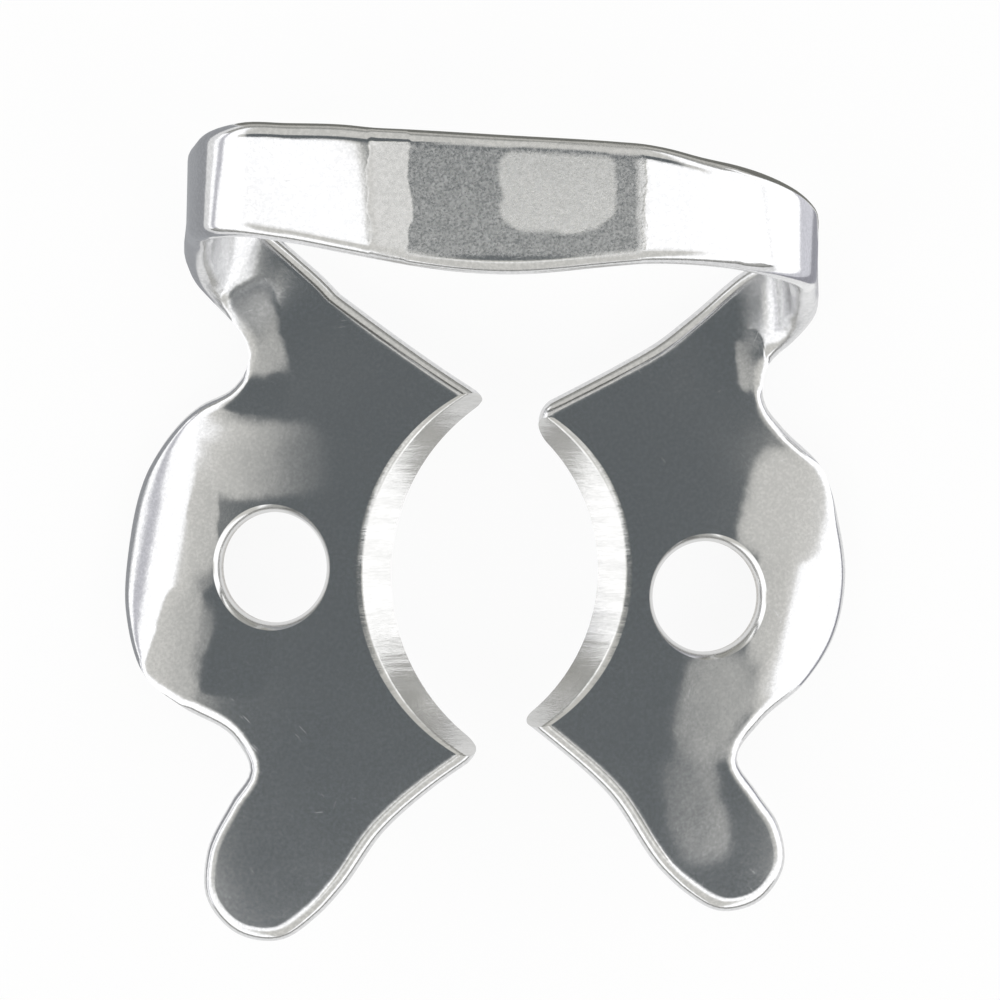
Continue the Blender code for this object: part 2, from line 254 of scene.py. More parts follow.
LEANS = (
    Lean((-6.75, 3.00), (1.95, 1.20), -4.0, soft=0.8),
    Lean((-7.30, 5.05), (1.00, 0.60), 6.0, soft=0.8),
    Lean((-7.85, -2.45), (1.20, 1.55), 7.0, turn=-10.0, soft=0.8),
    Lean((-8.80, 1.00), (0.42, 1.40), -20.0, soft=0.9, flat=0.8),
    Lean((-9.55, -2.70), (0.95, 1.70), -18.5, turn=-20.0, soft=0.8, flat=0.8),
    Lean((-7.10, 6.85), (0.75, 1.45), -19.6, turn=16.0, soft=0.9, flat=0.85),
    Lean((8.95, 1.55), (1.40, 1.60), 21.8, turn=-12.0, soft=0.8, flat=0.80),
    Lean((8.30, -1.05), (0.50, 2.05), 20.5, turn=-8.0, soft=0.9, flat=0.8),
    Lean((6.52, -4.30), (1.15, 1.75), 18.9, turn=-14.0, soft=0.9, flat=0.85),
    Lean((6.02, -7.45), (1.02, 1.85), 18.6, turn=12.0, soft=0.9, flat=0.8),
    Lean((7.75, 5.90), (0.48, 0.95), 20.0, turn=10.0, soft=0.9, flat=0.85),
    Lean((5.35, 9.60), (1.45, 2.6), 3.0, -4.5, level=Level.BOW),
    Lean((-5.30, 10.10), (2.1, 2.6), 0.0, -2.5, level=Level.BOW),
    Lean((-2.83, 10.0), (0.56, 2.6), 0.0, -9.5, soft=0.4, level=Level.BOW),
    Lean((1.72, 10.20), (1.55, 1.15), 0.0, -5.0, soft=0.25, level=Level.BOW),
    Lean((-7.90, 8.40), (1.30, 1.40), soft=0.9, dull=0.12),
    Lean((8.60, 7.70), (1.20, 1.30), soft=0.9, dull=0.12),
)


@dataclass(frozen=True)
class Texture:
    """Cloudy noise: the size of its clouds, how many octaves it has and how strong the finer ones are."""

    size: float
    octaves: float = 3.0
    finer: float = 0.65

    def swing(self, place: Field) -> Field:
        """The noise at a place, about 0 in the mean."""
        return place.noise(1 / self.size, self.octaves, self.finer)["Fac"] - 0.5


@dataclass(frozen=True)
class Mark:
    """How far a full mark moves the steel towards its dull colour, and changes its roughness and its height
    in millimetres."""

    shade: float = 0.0
    rough: float = 0.0
    height: float = 0.0


@dataclass(frozen=True)
class Finish:
    """How the steel looks between marks: its colour, the colour that marks dull it to, how far it is dulled
    everywhere, and its roughness."""

    colour: Colour
    dull: Colour
    shade: float
    roughness: float

    @staticmethod
    def start(name: str) -> tuple[Material, Bench, Field]:
        """A new material, its bench and the plan place of the steel."""
        made, bench = new_material(name)
        return made, bench, bench.plan_place()

    def end(
        self, bench: Bench, marks: list[tuple[Field, Mark]], normal: Field | None = None, metal: Field | float = 1.0
    ) -> None:
        """End the material in marked steel.

        Args:
            bench: The material's nodes.
            marks: Where each kind of mark is, and what it does.
            normal: The normal under the marks, if it isn't the surface's own.
            metal: How metallic the steel is.
        """
        sums = {"shade": self.shade, "rough": self.roughness, "height": 0.0}
        for what, start in sums.items():
            steps = ((where, getattr(mark, what)) for where, mark in marks)
            sums[what] = sum((where * step for where, step in steps if step), start)
        shade, rough, height = sums.values()
        colour = bench.mix(shade.ramp(0.0, 1.0), self.colour, self.dull) if isinstance(shade, Field) else self.colour
        normal = bench.bump(height, normal) if isinstance(height, Field) else normal
        inputs = {"Base Color": colour, "Metallic": metal, "Roughness": rough, "Normal": normal}
        bench.show(bench.node("BsdfPrincipled", inputs)["BSDF"])


@dataclass(frozen=True)
class CoinedFlat:
    """Where the top of the bow is struck flat, in plan, and how soft and how ragged its borders are."""

    left: float = -3.25 * MM
    left_soft: float = 0.45 * MM
    right: float = 3.98 * MM
    right_soft: float = 0.16 * MM
    mesial: float = 8.27 * MM
    mesial_soft: float = 0.20 * MM
    distal: float = 11.40 * MM
    distal_soft: float = 0.08 * MM
    lowest: float = 8.0 * MM
    lowest_soft: float = 0.2 * MM
    ragged: Texture = Texture(0.20 * MM, finer=0.6)
    ragged_sides: float = 0.315 * MM
    ragged_ends: float = 0.063 * MM

    def mask(self, place: Field) -> Field:
        """Where the flat is.

        Args:
            place: The plan place.

        Returns:
            1 on the flat, 0 off it, with a worn border.
        """
        axes, ragged = place.bench.node("SeparateXYZ", {"Vector": place}), self.ragged.swing(place)
        x, y, z = axes["X"] + ragged * self.ragged_sides, axes["Y"] + ragged * self.ragged_ends, axes["Z"]
        sides = x.ramp(self.left - self.left_soft, self.left + self.left_soft)
        sides = sides * x.ramp(self.right + self.right_soft, self.right)
        ends = y.ramp(self.mesial, self.mesial + self.mesial_soft) * y.ramp(self.distal + self.distal_soft, self.distal)
        return sides * ends * z.ramp(self.lowest, self.lowest + self.lowest_soft)


@dataclass(frozen=True)
class Scratches:
    """Fine handling scratches: their bearings, each with a seed, how long and wide they are, and the size
    of the patches that have them."""

    bearings: tuple[Place, ...] = ((12.0, 0.0), (74.0, 3.1), (131.0, 7.7))
    length: float = 0.9 * MM
    width: float = 0.04 * MM
    patch: float = 1.1 * MM
    dip: float = 0.4
    line_edge: Place = (0.72, 0.80)
    patch_edge: Place = (0.56, 0.70)

    def mask(self, place: Field) -> Field:
        """Where the scratches are.

        Args:
            place: The plan place.

        Returns:
            1 in a scratch and 0 off it.
        """
        total = 0.0
        for bearing, seed in self.bearings:
            along = place.dot(heading(bearing)) / self.length
            across = place.dot(heading(bearing + 90, self.dip)) / self.width
            lines = place.bench.join(along, across, seed).noise(1.0, 1.0)["Fac"].ramp(*self.line_edge)
            patches = place.noise(1 / self.patch + seed, 1.0)["Fac"].ramp(*self.patch_edge)
            total = total + lines * patches
        return total.math("MINIMUM", total, 1.0)


@dataclass(frozen=True)
class PolishedSteel(Finish):
    """The tumbled and polished sheet, with the coined flat on the bow. Each kind of mark has its texture and
    what it does; the pits are in the flat only, and the worn borders are those of the leaning places."""

    colour: Colour = (0.74, 0.74, 0.745)
    dull: Colour = (0.635, 0.638, 0.642)
    shade: float = 0.62
    roughness: float = 0.125
    leans: tuple[Lean, ...] = LEANS
    worn: Texture = Texture(0.9 * MM, finer=0.5)
    worn_reach: Colour = (0.5 * MM, 0.5 * MM, 0.0)
    speckle: Texture = Texture(0.07 * MM, finer=0.7)
    speckled: Mark = Mark(rough=0.05, height=0.0006)
    cloud: Texture = Texture(1.6 * MM, finer=0.55)
    clouded: Mark = Mark(shade=0.6, rough=0.05, height=0.006)
    fleck: Texture = Texture(0.11 * MM)
    flecked: Mark = Mark(shade=3.2)
    fleck_metal: float = 0.03
    fleck_edge: Place = (-0.08, 0.18)
    scratches: Scratches = Scratches()
    scratched: Mark = Mark(rough=0.08, height=-0.0008)
    flat: CoinedFlat = CoinedFlat()
    coined: Mark = Mark(rough=0.065, height=-0.004)
    coined_grain: Mark = Mark(height=0.0022)
    blotch: Texture = Texture(0.30 * MM)
    blotch_share: float = 0.2
    pit_edge: Place = (-0.22, 0.28)
    pitted: Mark = Mark(shade=-0.4, rough=0.20)
    dulled: Mark = Mark(rough=1.0)

    def material(self, rest: Matrix) -> Material:
        """The finish as a material.

        Args:
            rest: How the clamp's plan is turned as it rests.

        Returns:
            The material.
        """
        made, bench, place = self.start("polished_steel")
        flat, scratched = self.flat.mask(place), self.scratches.mask(place)
        textures = (self.speckle, self.cloud, self.fleck, self.blotch)
        speckle, cloud, fleck, blotch = (texture.swing(place) for texture in textures)
        pits = (speckle * (1 - self.blotch_share) + blotch * self.blotch_share).ramp(*self.pit_edge) * flat
        normal, dulled = self.leaning(place, rest)
        marks = [
            (speckle, self.speckled), (cloud, self.clouded), (fleck, self.flecked), (scratched, self.scratched),
            (flat, self.coined), (flat * speckle, self.coined_grain), (pits, self.pitted), (dulled, self.dulled),
        ]
        self.end(bench, marks, normal, 1.0 - fleck.ramp(*self.fleck_edge) * self.fleck_metal)
        return made

    def leaning(self, place: Field, rest: Matrix) -> tuple[Field, Field]:
        """The face's normal, tipped over where the face leans, and where it is duller.

        Args:
            place: The plan place.
            rest: How the clamp's plan is turned as it rests.

        Returns:
            The normal, and the roughness that is added.
        """
        drift = place.noise(1 / self.worn.size, self.worn.octaves, self.worn.finer)["Color"]
        drift = drift.vector("ADD", (-0.5, -0.5, -0.5)).vector("MULTIPLY", self.worn_reach)
        bench, worn = place.bench, place.vector("ADD", drift)
        normal = bench.node("NewGeometry", {})["Normal"]
        dulled = 0.0
        for lean in self.leans:
            tilt, share = lean.tilt(rest), lean.mask(worn)
            if lean.dull:
                dulled = dulled + share * lean.dull
            elif lean.flat:
                inputs = {"Factor": share * lean.flat, "A": normal, "B": tuple(tilt)}
                normal = bench.node("Mix", inputs, data_type="VECTOR")["Result"]
            else:
                normal = normal.vector("ADD", bench.join(*(share * part for part in tilt)))
        return normal.vector("NORMALIZE"), dulled


@dataclass(frozen=True)
class GroundSteel(Finish):
    """The tooth edges, where a wheel has left lines across the band."""

    colour: Colour = (0.68, 0.678, 0.67)
    dull: Colour = (0.56, 0.56, 0.55)
    shade: float = 0.45
    roughness: float = 0.17
    streak: Colour = (0.08, 1.0, 0.25)
    line: Texture = Texture(0.055 * MM, finer=0.75)
    lined: Mark = Mark(shade=1.1, rough=0.22, height=0.005)
    chatter: Texture = Texture(0.45 * MM, octaves=2.0, finer=0.5)
    chattered: Mark = Mark(shade=1.3, rough=0.15, height=0.020)

    def material(self) -> Material:
        """The finish as a material."""
        made, bench, place = self.start("ground_steel")
        streaks = place.vector("MULTIPLY", self.streak)
        pairs = ((self.line, self.lined), (self.chatter, self.chattered))
        self.end(bench, [(texture.swing(streaks), mark) for texture, mark in pairs])
        return made


@dataclass(frozen=True)
class PiercedSteel(Finish):
    """The walls of the forceps holes, sheared by a punch and left duller and browner than the faces."""

    colour: Colour = (0.60, 0.585, 0.56)
    dull: Colour = (0.42, 0.405, 0.385)
    shade: float = 0.5
    roughness: float = 0.26
    drag: Texture = Texture(0.06 * MM, finer=0.7)
    drag_way: Colour = (1.0, 1.0, 0.12)
    dragged: Mark = Mark(shade=2.0, rough=0.2, height=0.012)

    def material(self) -> Material:
        """The finish as a material."""
        made, bench, place = self.start("pierced_steel")
        self.end(bench, [(self.drag.swing(place.vector("MULTIPLY", self.drag_way)), self.dragged)])
        return made


@dataclass(frozen=True)
class BurnishedSteel(Finish):
    """The rolled rims of the forceps holes, rubbed evenly bright."""

    colour: Colour = (0.69, 0.69, 0.685)
    dull: Colour = (0.69, 0.69, 0.685)
    shade: float = 0.0
    roughness: float = 0.15
    rub: Texture = Texture(0.12 * MM, octaves=2.0, finer=0.5)
    rubbed: Mark = Mark(rough=0.1)

    def material(self) -> Material:
        """The finish as a material."""
        made, bench, place = self.start("burnished_steel")
        self.end(bench, [(self.rub.swing(place), self.rubbed)])
        return made


# ---- meshes and objects


def join_rows(bm: BMesh, rows: list[list[BMVert]]) -> None:
    """Fill between neighbouring rows of vertices with quads."""
    for here, there in zip(rows, rows[1:]):
        for i in range(len(here) - 1):
            bm.faces.new((here[i], here[i + 1], there[i + 1], there[i]))


def close(bm: BMesh) -> None:
    """Fill a mesh's open rims and point its faces outwards."""
    bmesh.ops.holes_fill(bm, edges=[edge for edge in bm.edges if edge.is_boundary])
    bmesh.ops.recalc_face_normals(bm, faces=bm.faces)


def as_object(name: str, bm: BMesh, *materials: Material) -> Object:
    """Make an object of a mesh.

    Args:
        name: The object's name.
        bm: Its mesh, which is used up.
        materials: Its materials.

    Returns:
        The object, linked to the scene.
    """
    mesh = bpy.data.meshes.new(name)
    bm.to_mesh(mesh)
    bm.free()
    for material in materials:
        mesh.materials.append(material)
    made = bpy.data.objects.new(name, mesh)
    bpy.context.scene.collection.objects.link(made)
    return made


def modify(piece: Object, name: str, kind: str, **settings: object) -> None:
    """Add a modifier of one kind to a piece, with its settings."""
    made = piece.modifiers.new(name, kind)
    for setting, value in settings.items():
        setattr(made, setting, value)


# ---- forming the sheet


SPLINE_STEPS = 60


@dataclass(frozen=True)
class Sheet:
    """The sheet that the clamp is punched from, and how finely it is drawn."""

    thickness: float = 0.80 * MM
    edge_round: float = 0.38 * MM
    rim_margin: float = 0.10 * MM
    edge_step: float = 0.20 * MM
    face_step: float = 0.36 * MM
    tip_clear: float = 0.62 * MM
    weld: float = 0.005 * MM
    round_segments: int = 6
    round_over: float = math.radians(50)
    columns: int = 9

    def rim_band(self) -> float:
        """Width of the band of faces along the rims, which takes the rolled edge."""
        return self.edge_round + self.rim_margin

    def cross_shares(self, across: Vector, mesial: Vector, distal: Vector) -> list[float]:
        """Where the strap's lengthwise lines meet a line that crosses it.

        Args:
            across: From the mesial rim to the distal one.
            mesial: The way the mesial rim runs there.
            distal: The way the distal rim runs there.

        Returns:
            Shares of the crossing line, from 0 to 1.
        """
        near, far = (self.rim_band() / across.cross(rim.normalized()).length for rim in (mesial, distal))
        count = self.columns + 1
        between = [near + (1 - near - far) * i / count for i in range(1, count)]
        return [0.0, near, *between, 1 - far, 1.0]


def spline_through(knots: list, step: float, places: int | None = None) -> np.ndarray:
    """Points about one step apart on a smooth curve through the knots.

    Args:
        knots: Rows of numbers, of which the first columns are places.
        step: Distance between points.
        places: How many columns are places; all of them if not given.

    Returns:
        The rows on the curve, with every column of the knots.
    """
    knots = np.asarray(knots, dtype=float)
    places = knots.shape[1] if places is None else places
    spans = np.linalg.norm(np.diff(knots[:, :places], axis=0), axis=1)
    at = np.concatenate([[0.0], np.cumsum(spans)])
    slopes = np.gradient(knots, at, axis=0) if len(knots) > 2 else np.diff(knots, axis=0) / spans[0]
    slopes = slopes if len(knots) > 2 else np.repeat(slopes, 2, axis=0)
    fine = np.linspace(0.0, at[-1], SPLINE_STEPS * len(knots))
    cell = np.clip(np.searchsorted(at, fine, side="right") - 1, 0, len(spans) - 1)
    t = ((fine - at[cell]) / spans[cell])[:, None]
    width = spans[cell][:, None]
    curve = (
        knots[cell] * (2 * t**3 - 3 * t**2 + 1)
        + slopes[cell] * width * (t**3 - 2 * t**2 + t)
        + knots[cell + 1] * (3 * t**2 - 2 * t**3)
        + slopes[cell + 1] * width * (t**3 - t**2)
    )
    run = np.concatenate([[0.0], np.cumsum(np.linalg.norm(np.diff(curve[:, :places], axis=0), axis=1))])
    count = max(2, round(run[-1] / step))
    even = np.linspace(0.0, run[-1], count + 1)
    return np.stack([np.interp(even, run, curve[:, i]) for i in range(knots.shape[1])], axis=1)


def inset(points: np.ndarray, distance: float, side: int) -> np.ndarray:
    """An open line moved into the sheet and mitred at its corners.

    Args:
        points: The line's plan points.
        distance: How far it moves.
        side: Which side it moves to.

    Returns:
        The moved points.
    """
    ahead = np.diff(points, axis=0)
    ahead /= np.linalg.norm(ahead, axis=1)[:, None]
    sideways = np.stack([-ahead[:, 1], ahead[:, 0]], axis=1) * side
    before = np.vstack([sideways[:1], sideways])
    after = np.vstack([sideways, sideways[-1:]])
    mitre = before + after
    mitre /= (1.0 + np.sum(before * after, axis=1))[:, None]
    return points + mitre * distance


@dataclass(frozen=True)
class PlanLoop:
    """A closed loop in plan."""

    points: np.ndarray
    clear: float = 0.6

    def holds(self, place: Place) -> bool:
        """Whether a plan place lies in the loop."""
        x, y = place
        ends = np.roll(self.points, -1, axis=0)
        crosses = (self.points[:, 1] > y) != (ends[:, 1] > y)
        rise = np.where(crosses, ends[:, 1] - self.points[:, 1], 1.0)
        reach = self.points[:, 0] + (y - self.points[:, 1]) * (ends[:, 0] - self.points[:, 0]) / rise
        return bool(np.count_nonzero(crosses & (x < reach)) % 2 == 1)

    def field(self, step: float) -> list[Place]:
        """Staggered places inside the loop, clear of its edge.

        Args:
            step: Distance between neighbours.

        Returns:
            The places.
        """
        low, high = self.points.min(axis=0), self.points.max(axis=0)
        rows = np.arange(low[1], high[1], step * math.sin(math.radians(60)))
        found = []
        for number, y in enumerate(rows):
            for x in np.arange(low[0] + (number % 2) * step / 2, high[0], step):
                away = np.min(np.linalg.norm(self.points - (x, y), axis=1))
                if away > self.clear * step and self.holds((x, y)):
                    found.append((x, y))
        return found


@dataclass(frozen=True)
class Plan:
    """The sizes that the jaws and the bow share."""

    jaw_gap: float = 6.37 * MM
    bow_reach: float = 7.94 * MM
    plate_fall: float = slope(9.0)
    plate_radius: float = 38.0 * MM
    wing_radius: float = 4.2 * MM


@dataclass(frozen=True)
class Finger:
    """The round end of a jaw's mesial wing."""

    centre: Place
    radius: float
    start: float
    end: float

    def knots(self, count: int = 5) -> list[Place]:
        """Places on the finger's round end."""
        angles = [math.radians(self.start + (self.end - self.start) * i / (count - 1)) for i in range(count)]
        x, y = self.centre
        return [(x + self.radius * math.cos(a), y + self.radius * math.sin(a)) for a in angles]


@dataclass
class Jaw:
    """One jaw plate in plan, from the distal side of its neck round to the outer side. Its places are in
    millimetres: x from the deepest point of its own tooth edge, and y from the tooth axis, or from the
    bow's mesial rim where they belong to the neck."""

    side: Side
    neck_distal: list[Place]
    distal_edge: list[Place]
    prongs: list[Place]
    finger_inner: list[Place]
    finger: Finger
    finger_outer: list[Place]
    wing: list[Place]
    neck_outer: list[Place]
    tooth_level: float
    grind_radius: float
    hole: Place
    bend_point: Place
    bend_heading: float
    bend_fades: Place = (-6.2, -4.2)
    plan: Plan = Plan()
    sheet: Sheet = Sheet()

    def places(self, points: list[Place], level: float = 0.0) -> list[Place]:
        """Points of the jaw's own plan as places in the clamp's plan."""
        return [(self.side.value * self.plan.jaw_gap / 2 + x * MM, level + y * MM) for x, y in points]

    def outline(self) -> np.ndarray:
        """The rim from the neck's distal side to its outer side: smooth runs that meet at the prongs."""
        reach = self.plan.bow_reach
        distal = self.places(self.neck_distal, reach) + self.places(self.distal_edge + self.prongs[:1])
        tooth = self.places(self.prongs)
        wings = self.prongs[1:] + self.finger_inner + self.finger.knots() + self.finger_outer + self.wing
        mesial = self.places(wings) + self.places(self.neck_outer, reach)
        runs = [spline_through(run, self.sheet.edge_step) for run in (distal, tooth, mesial)]
        clear = max(1, round(self.sheet.tip_clear / self.sheet.edge_step))
        first, second, third = runs[0], runs[1][clear:-clear], runs[2][clear:]
        return np.vstack([first[:-clear], first[-1:], second, runs[1][-1:], third])

    def height(self, x: float, y: float) -> float:
        """Height of the sheet: it falls away outwards, more steeply past the wing's bend line, which fades out
        where the mesial wing begins."""
        reach = self.side.value * x - self.plan.jaw_gap / 2
        flat = max(reach, 0.0)
        outwards = heading(self.bend_heading).xy * Vector((self.side.value, 1.0))
        past = max(outwards.dot(Vector((x, y)) - Vector(self.places([self.bend_point])[0])), 0.0)
        end, start = self.bend_fades
        share = min(max((y / MM - end) / (start - end), 0.0), 1.0)
        past *= share * share * (3 - 2 * share)
        fall = self.plan.plate_fall * reach + flat**2 / (2 * self.plan.plate_radius)
        return -fall - past**2 / (2 * self.plan.wing_radius)

    def normal(self, x: float, y: float) -> Vector:
        """The sheet's upward normal at a plan place."""
        step = 0.05 * MM
        dx = (self.height(x + step, y) - self.height(x - step, y)) / (2 * step)
        dy = (self.height(x, y + step) - self.height(x, y - step)) / (2 * step)
        return Vector((-dx, -dy, 1.0)).normalized()

    def neck_row(self) -> list[Vector]:
        """The row of points that the plate and the bow share."""
        rim = self.outline()
        ends = [Vector((*point, 0.0)) for point in (rim[-1], rim[-2], rim[0], rim[1])]
        across = ends[2] - ends[0]
        shares = self.sheet.cross_shares(across, ends[1] - ends[0], ends[3] - ends[2])
        row = [ends[0] + across * share for share in shares]
        return [Vector((point.x, point.y, self.height(point.x, point.y))) for point in row]

    def build(self, bm: BMesh) -> None:
        """Add the plate: a band of quads along the rim, and triangles over the field inside it.

        Args:
            bm: The mesh that takes the faces.
        """
        rim = self.outline()
        row = [point.xy for point in self.neck_row()]
        band = inset(rim, self.sheet.rim_band(), self.side.value)
        band[0] = row[-2]
        band[-1] = row[1]
        loop = np.vstack([band, [tuple(point) for point in row[2:-2]]])
        points = [Vector(p) for p in loop] + [Vector(p) for p in PlanLoop(loop).field(self.sheet.face_step)]
        made = delaunay_2d_cdt(points, [], [list(range(len(loop)))], 1, 1e-9)
        verts = [bm.verts.new((p.x, p.y, self.height(p.x, p.y))) for p in made[0]]
        for face in made[2]:
            bm.faces.new([verts[i] for i in face])
        outside = [bm.verts.new((x, y, self.height(x, y))) for x, y in rim]
        inner = [bm.verts.new((x, y, self.height(x, y))) for x, y in band]
        join_rows(bm, [outside, inner])


LEFT_JAW = Jaw(
    side=Side.LEFT,
    neck_distal=[(-1.45, 0.06)],
    distal_edge=[(-0.12, 7.00), (1.41, 5.90)],
    prongs=[(2.94, 4.88), (2.67, -5.88)],
    finger_inner=[(1.41, -6.78), (-0.13, -8.16), (-1.38, -9.91)],
    finger=Finger(centre=(-3.72, -9.62), radius=1.93, start=-36.0, end=-200.0),
    finger_outer=[(-4.76, -7.32), (-4.19, -6.35)],
    wing=[
        (-4.64, -5.47), (-6.34, -4.48), (-7.39, -3.68), (-8.04, -1.75), (-7.97, 0.25),
        (-7.27, 2.86), (-5.77, 4.66),
    ],
    neck_outer=[(-4.67, -2.69), (-4.29, -2.16), (-4.21, -1.81)],
    tooth_level=-0.45,
    grind_radius=6.14,
    hole=(-3.45, -0.23),
    bend_point=(-5.30, 1.80),
    bend_heading=12.0,
)

RIGHT_JAW = Jaw(
    side=Side.RIGHT,
    neck_distal=[(2.71, -0.60)],
    distal_edge=[(1.83, 6.64), (0.44, 5.82), (-0.76, 5.18)],
    prongs=[(-1.81, 4.64), (-2.50, -4.65)],
    finger_inner=[(-1.48, -5.47), (0.17, -6.96), (1.91, -9.43)],
    finger=Finger(centre=(3.89, -8.90), radius=1.75, start=-140.0, end=28.0),
    finger_outer=[(4.75, -7.03), (4.14, -6.00)],
    wing=[
        (4.82, -4.99), (6.26, -3.73), (7.08, -2.50), (7.50, -0.60), (7.30, 1.10),
        (6.77, 2.78), (5.51, 4.06),
    ],
    neck_outer=[(5.04, -3.28), (4.91, -2.82), (4.95, -2.42)],
    tooth_level=-0.30,
    grind_radius=5.49,
    hole=(3.18, -1.11),
    bend_point=(5.80, 1.80),
    bend_heading=-14.0,
)


@dataclass(frozen=True)
class Bow:
    """The strap from neck to neck over the top. Each station on its mesial rim is a place in millimetres,
    with x from the deepest point of the tooth edge on that side, or from the tooth axis for the middle one,
    and y from the bow's reach, then the share of the bow's height, the yaw and pitch in degrees of the line
    that crosses the strap to its distal rim, and how far the strap has widened there from its waist on that
    side to its full width on top."""

    height: float = 9.1 * MM
    left_waist: float = 2.75 * MM
    right_waist: float = 2.52 * MM
    top_width: float = 3.78 * MM
    plan: Plan = Plan()
    sheet: Sheet = Sheet()
    left: tuple[Station, ...] = (
        (-4.3, -1.36, -0.101, 50, 10, 0.34), (-4.56, -0.94, -0.088, 43, 8, 0.15),
        (-5.16, -0.33, -0.049, 33, 2, 0.07), (-5.52, 0.16, 0.044, 22, -6, 0.02),
        (-5.60, 0.58, 0.165, 13, -12, 0.00), (-5.46, 0.91, 0.352, 6, -14, 0.00),
        (-5.22, 1.05, 0.527, 2, -14, 0.00), (-5.07, 1.09, 0.670, 0, -10, 0.00),
        (-4.82, 1.07, 0.808, 0, -3, 0.03), (-4.42, 1.07, 0.896, 0, 5, 0.20),
        (-3.75, 1.07, 0.940, 0, 10, 0.34), (-2.37, 0.88, 0.970, 0, 10, 0.49),
        (-0.86, 0.58, 0.995, 0, 9, 0.71), (-0.01, 0.41, 1.006, 0, 8, 0.78),
        (0.61, 0.29, 1.004, 0, 8, 0.87),
    )
    middle: Station = (0.175, 0, 1.000, 0, 8, 1.00)
    right: tuple[Station, ...] = (
        (0.24, 0.23, 1.004, 0, 8, 0.66), (0.85, 0.28, 1.004, 0, 8, 0.58),
        (1.48, 0.29, 0.998, 0, 8, 0.49), (2.44, 0.26, 0.978, 0, 6, 0.33),
        (3.42, 0.18, 0.940, 0, 2, 0.25), (4.2, 0.08, 0.885, 0, -2, 0.19),
        (4.91, -0.03, 0.791, 2, -6, 0.08), (5.4, -0.12, 0.670, 3, -12, 0.00),
        (5.63, -0.18, 0.527, 3, -15, 0.00), (5.79, -0.28, 0.352, 2, -16, 0.00),
        (6.01, -0.53, 0.187, -2, -15, 0.02), (6.06, -0.95, 0.055, -11, -11, 0.09),
        (5.78, -1.42, -0.033, -20, -6, 0.12), (5.36, -1.78, -0.075, -29, -3, 0.13),
        (5.1, -2.08, -0.093, -40, -2, 0.15),
    )

    def stations(self) -> list[list[float]]:
        """Each station's place and the vector that crosses the strap there."""
        drawn = [(-1, self.left_waist, station) for station in self.left]
        drawn += [(0, self.top_width, self.middle)]
        drawn += [(1, self.right_waist, station) for station in self.right]
        made = []
        for side, waist, (x, y, share, yaw, pitch, fullness) in drawn:
            turn, rise = math.radians(yaw), math.radians(pitch)
            across = Vector((math.sin(turn) * math.cos(rise), math.cos(turn) * math.cos(rise), math.sin(rise)))
            place = (side * self.plan.jaw_gap / 2 + x * MM, self.plan.bow_reach + y * MM, share * self.height)
            made.append([*place, *across * (waist + fullness * (self.top_width - waist))])
        return made

    def rows(self, necks: list[list[Vector]]) -> list[list[Vector]]:
        """Rows of points across the strap, from the left neck over the bow to the right neck.

        Args:
            necks: The rows that the strap shares with the left and right plates.

        Returns:
            The rows, with the necks' own at both ends.
        """
        stations = self.stations()
        for place, row in ((0, necks[0]), (len(stations) + 1, necks[1])):
            stations.insert(place, [*row[0], *row[-1] - row[0]])
        line = spline_through(stations, self.sheet.edge_step, places=3)
        mesial, distal = line[:, :3], line[:, :3] + line[:, 3:]
        runs = zip(mesial, distal, np.gradient(mesial, axis=0), np.gradient(distal, axis=0))
        rows = []
        for edge, far, run, far_run in runs:
            across = Vector(far - edge)
            shares = self.sheet.cross_shares(across, Vector(run), Vector(far_run))
            rows.append([Vector(edge) + across * share for share in shares])
        rows[0], rows[-1] = necks
        return rows

    def build(self, bm: BMesh, necks: list[list[Vector]]) -> None:
        """Add the strap's faces, between the rows that it shares with the plates."""
        join_rows(bm, [[bm.verts.new(point) for point in row] for row in self.rows(necks)])


# ---- what is cut into the sheet


